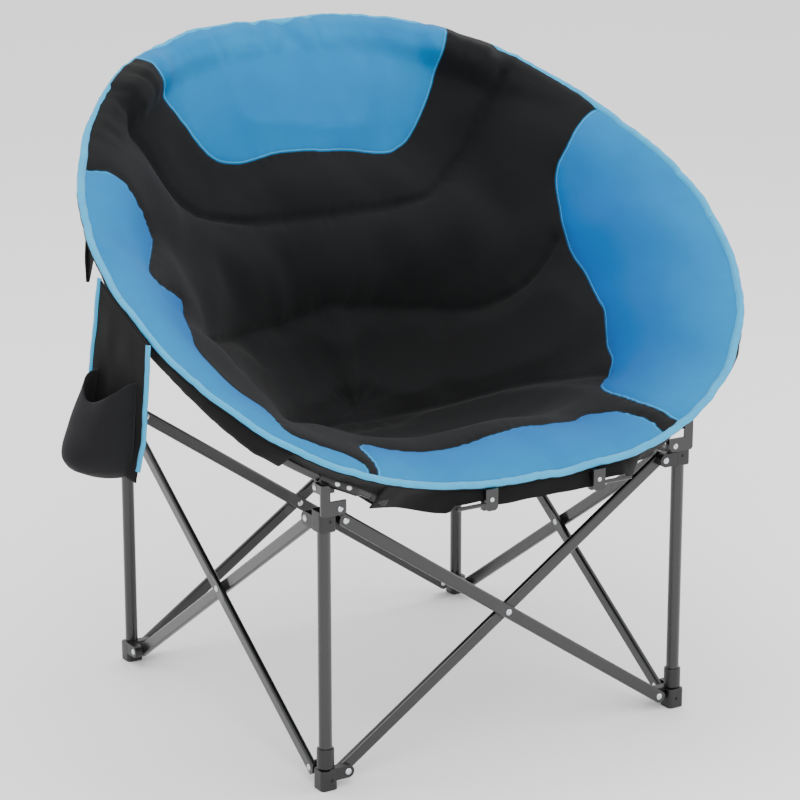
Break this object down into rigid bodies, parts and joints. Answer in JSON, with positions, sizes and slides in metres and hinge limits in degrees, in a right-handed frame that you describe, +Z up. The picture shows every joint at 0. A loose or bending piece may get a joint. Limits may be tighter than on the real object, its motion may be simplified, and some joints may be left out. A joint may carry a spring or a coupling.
{
  "type": "folding saucer chair",
  "caption": "Round padded bucket seat on a folding steel frame with crossed braces on every side, telescoping front legs, long rear poles and a cup holder at the rim.",
  "frame": {"origin": "on the floor, at the centre of the square of the four legs", "axes": "+Z up, the open front of the seat faces -Y, +X to the right as seen from the front"},
  "size_m": [1.1151, 0.7466, 0.975],
  "materials": {
    "painted_steel": "semi-gloss black powder coat",
    "black_plastic": "moulded, lightly glossy",
    "rivet_steel": "zinc plated",
    "blue_fabric": "woven polyester, quilted, blue panels on black with a cyan binding",
    "black_fabric": "woven polyester"
  },
  "bodies": {
    "front_left_foot": {"foot_front_left": "black_plastic", "foot_rivets_front_left": "rivet_steel", "inner_leg_front_left": "painted_steel"},
    "brace_a": {"brace_front_a": "painted_steel", "rivet_front_crossing": "rivet_steel"},
    "brace_b": {"brace_front_b": "painted_steel"},
    "front_left_hub": {"hub_front_left": "black_plastic", "hub_rivets_front_left": "rivet_steel", "outer_leg_front_left": "painted_steel", "leg_collar_front_left": "black_plastic"},
    "front_right_foot": {"foot_front_right": "black_plastic", "foot_rivets_front_right": "rivet_steel", "inner_leg_front_right": "painted_steel"},
    "front_right_hub": {"hub_front_right": "black_plastic", "hub_rivets_front_right": "rivet_steel", "outer_leg_front_right": "painted_steel", "leg_collar_front_right": "black_plastic"},
    "brace_c": {"brace_left_c": "painted_steel", "rivet_left_crossing": "rivet_steel"},
    "brace_d": {"brace_left_d": "painted_steel"},
    "rear_left_pole": {"foot_rear_left": "black_plastic", "foot_rivets_rear_left": "rivet_steel", "rear_pole_left": "painted_steel", "pole_top_knuckle_left": "black_plastic"},
    "rear_left_hub": {"hub_rear_left": "black_plastic", "hub_rivets_rear_left": "rivet_steel"},
    "brace_f": {"brace_rear_f": "painted_steel", "rivet_rear_crossing": "rivet_steel"},
    "brace_e": {"brace_rear_e": "painted_steel"},
    "rear_right_pole": {"foot_rear_right": "black_plastic", "foot_rivets_rear_right": "rivet_steel", "rear_pole_right": "painted_steel", "pole_top_knuckle_right": "black_plastic"},
    "rear_right_hub": {"hub_rear_right": "black_plastic", "hub_rivets_rear_right": "rivet_steel"},
    "brace_g": {"brace_right_g": "painted_steel", "rivet_right_crossing": "rivet_steel"},
    "brace_h": {"brace_right_h": "painted_steel"},
    "yoke_left": {"rim_yoke_left": "painted_steel"},
    "yoke_right": {"rim_yoke_right": "painted_steel"},
    "front_rim_left": {"rim_bracket_left": "black_plastic", "rim_bracket_rivets_left": "rivet_steel", "front_rim_tube_left": "painted_steel", "rim_end_cap_left": "black_plastic"},
    "front_rim_right": {"rim_bracket_right": "black_plastic", "rim_bracket_rivets_right": "rivet_steel", "front_rim_tube_right": "painted_steel", "rim_end_cap_right": "black_plastic"},
    "rear_rim_left": {"rim_saddle_left": "black_plastic", "rear_rim_tube_left": "painted_steel"},
    "rear_rim_right": {"rim_saddle_right": "black_plastic", "rear_rim_tube_right": "painted_steel"},
    "seat_back": {"seat_back_pad": "blue_fabric", "rim_sleeve_back": "blue_fabric", "cup_holder_panel": "black_fabric", "cup_holder_pocket": "black_fabric", "side_pocket": "black_fabric"},
    "seat_pan": {"seat_pan_pad": "blue_fabric", "front_strap": "black_fabric", "front_clips": "painted_steel"}
  },
  "joints": [
    {"name": "fold", "type": "hinge", "parent": "front_left_foot", "child": "brace_a", "pos_m": [-0.27, -0.2949, 0.023], "axis": [0, -1, 0], "range_deg": [0, 48.73]},
    {"name": "front_crossing", "type": "hinge", "parent": "brace_a", "child": "brace_b", "pos_m": [0, -0.3, 0.207], "axis": [0, 1, 0], "range_deg": [0, 97.5]},
    {"name": "front_left_hub_pivot", "type": "hinge", "parent": "brace_b", "child": "front_left_hub", "pos_m": [-0.27, -0.3051, 0.391], "axis": [0, -1, 0], "range_deg": [0, 48.78]},
    {"name": "front_right_foot_pivot", "type": "hinge", "parent": "brace_b", "child": "front_right_foot", "pos_m": [0.27, -0.3051, 0.023], "axis": [0, -1, 0], "range_deg": [0, 48.78]},
    {"name": "front_right_hub_pivot", "type": "hinge", "parent": "brace_a", "child": "front_right_hub", "pos_m": [0.27, -0.2949, 0.391], "axis": [0, 1, 0], "range_deg": [0, 48.78]},
    {"name": "left_foot_pivot", "type": "hinge", "parent": "front_left_foot", "child": "brace_c", "pos_m": [-0.3051, -0.27, 0.023], "axis": [1, 0, 0], "range_deg": [0, 48.78]},
    {"name": "left_crossing", "type": "hinge", "parent": "brace_c", "child": "brace_d", "pos_m": [-0.3, 0, 0.207], "axis": [-1, 0, 0], "range_deg": [0, 97.5]},
    {"name": "rear_left_foot_pivot", "type": "hinge", "parent": "brace_d", "child": "rear_left_pole", "pos_m": [-0.2949, 0.27, 0.023], "axis": [1, 0, 0], "range_deg": [0, 48.78]},
    {"name": "rear_left_hub_pivot", "type": "hinge", "parent": "brace_c", "child": "rear_left_hub", "pos_m": [-0.3051, 0.27, 0.391], "axis": [-1, 0, 0], "range_deg": [0, 48.78]},
    {"name": "rear_foot_pivot", "type": "hinge", "parent": "rear_left_pole", "child": "brace_f", "pos_m": [-0.27, 0.3051, 0.023], "axis": [0, -1, 0], "range_deg": [0, 48.78]},
    {"name": "rear_crossing", "type": "hinge", "parent": "brace_f", "child": "brace_e", "pos_m": [0, 0.3, 0.207], "axis": [0, 1, 0], "range_deg": [0, 97.5]},
    {"name": "rear_right_foot_pivot", "type": "hinge", "parent": "brace_e", "child": "rear_right_pole", "pos_m": [0.27, 0.2949, 0.023], "axis": [0, -1, 0], "range_deg": [0, 48.78]},
    {"name": "rear_right_hub_pivot", "type": "hinge", "parent": "brace_f", "child": "rear_right_hub", "pos_m": [0.27, 0.3051, 0.391], "axis": [0, 1, 0], "range_deg": [0, 48.78]},
    {"name": "right_foot_pivot", "type": "hinge", "parent": "front_right_foot", "child": "brace_g", "pos_m": [0.2949, -0.27, 0.023], "axis": [1, 0, 0], "range_deg": [0, 48.78]},
    {"name": "right_crossing", "type": "hinge", "parent": "brace_g", "child": "brace_h", "pos_m": [0.3, 0, 0.207], "axis": [-1, 0, 0], "range_deg": [0, 97.5]},
    {"name": "yoke_left_pivot", "type": "hinge", "parent": "front_left_hub", "child": "yoke_left", "pos_m": [-0.283, -0.309, 0.412], "axis": [0, -1, 0], "range_deg": [0, 30.35]},
    {"name": "yoke_right_pivot", "type": "hinge", "parent": "front_right_hub", "child": "yoke_right", "pos_m": [0.283, -0.309, 0.412], "axis": [0, 1, 0], "range_deg": [0, 30.35]},
    {"name": "front_rim_left_pivot", "type": "hinge", "parent": "yoke_left", "child": "front_rim_left", "pos_m": [-0.311, -0.3, 0.443], "axis": [-1, 0, 0], "range_deg": [0, 106.05]},
    {"name": "front_rim_right_pivot", "type": "hinge", "parent": "yoke_right", "child": "front_rim_right", "pos_m": [0.311, -0.3, 0.443], "axis": [-1, 0, 0], "range_deg": [0, 106.05]},
    {"name": "rear_rim_left_ball", "type": "hinge", "parent": "rear_left_pole", "child": "rear_rim_left", "pos_m": [-0.277, 0.277, 0.9], "axis": [0.5658, 0.1944, 0.8013], "range_deg": [0, 127.33]},
    {"name": "rear_rim_right_ball", "type": "hinge", "parent": "rear_right_pole", "child": "rear_rim_right", "pos_m": [0.277, 0.277, 0.9], "axis": [0.5658, -0.1944, -0.8013], "range_deg": [0, 127.33]},
    {"name": "seat_back_fold", "type": "hinge", "parent": "rear_left_pole", "child": "seat_back", "pos_m": [0, 0.3, 0.912], "axis": [1, 0, 0], "range_deg": [0, 12.35], "deforming": ["seat_back_pad", "rim_sleeve_back", "cup_holder_panel", "cup_holder_pocket", "side_pocket"]},
    {"name": "seat_pan_fold", "type": "hinge", "parent": "seat_back", "child": "seat_pan", "pos_m": [0, 0.1, 0.36], "axis": [-1, 0, 0], "range_deg": [0, 80.35], "deforming": ["seat_pan_pad", "front_strap", "front_clips"]}
  ],
  "couplings": [
    {"joint": "front_crossing", "follows": "fold", "ratio": 2},
    {"joint": "front_left_hub_pivot", "follows": "fold", "ratio": 1},
    {"joint": "front_right_foot_pivot", "follows": "fold", "ratio": 1},
    {"joint": "front_right_hub_pivot", "follows": "fold", "ratio": 1},
    {"joint": "left_foot_pivot", "follows": "fold", "ratio": 1},
    {"joint": "left_crossing", "follows": "fold", "ratio": 2},
    {"joint": "rear_left_foot_pivot", "follows": "fold", "ratio": 1},
    {"joint": "rear_left_hub_pivot", "follows": "fold", "ratio": 1},
    {"joint": "rear_foot_pivot", "follows": "fold", "ratio": 1},
    {"joint": "rear_crossing", "follows": "fold", "ratio": 2},
    {"joint": "rear_right_foot_pivot", "follows": "fold", "ratio": 1},
    {"joint": "rear_right_hub_pivot", "follows": "fold", "ratio": 1},
    {"joint": "right_foot_pivot", "follows": "fold", "ratio": 1},
    {"joint": "right_crossing", "follows": "fold", "ratio": 2},
    {"joint": "yoke_left_pivot", "follows": "fold", "ratio": 0.62184},
    {"joint": "yoke_right_pivot", "follows": "fold", "ratio": 0.62184},
    {"joint": "front_rim_left_pivot", "follows": "fold", "ratio": 2.1754},
    {"joint": "front_rim_right_pivot", "follows": "fold", "ratio": 2.1754},
    {"joint": "rear_rim_left_ball", "follows": "fold", "ratio": 2.612},
    {"joint": "rear_rim_right_ball", "follows": "fold", "ratio": 2.612},
    {"joint": "seat_back_fold", "follows": "fold", "ratio": 0.25243},
    {"joint": "seat_pan_fold", "follows": "fold", "ratio": 1.648}
  ]
}
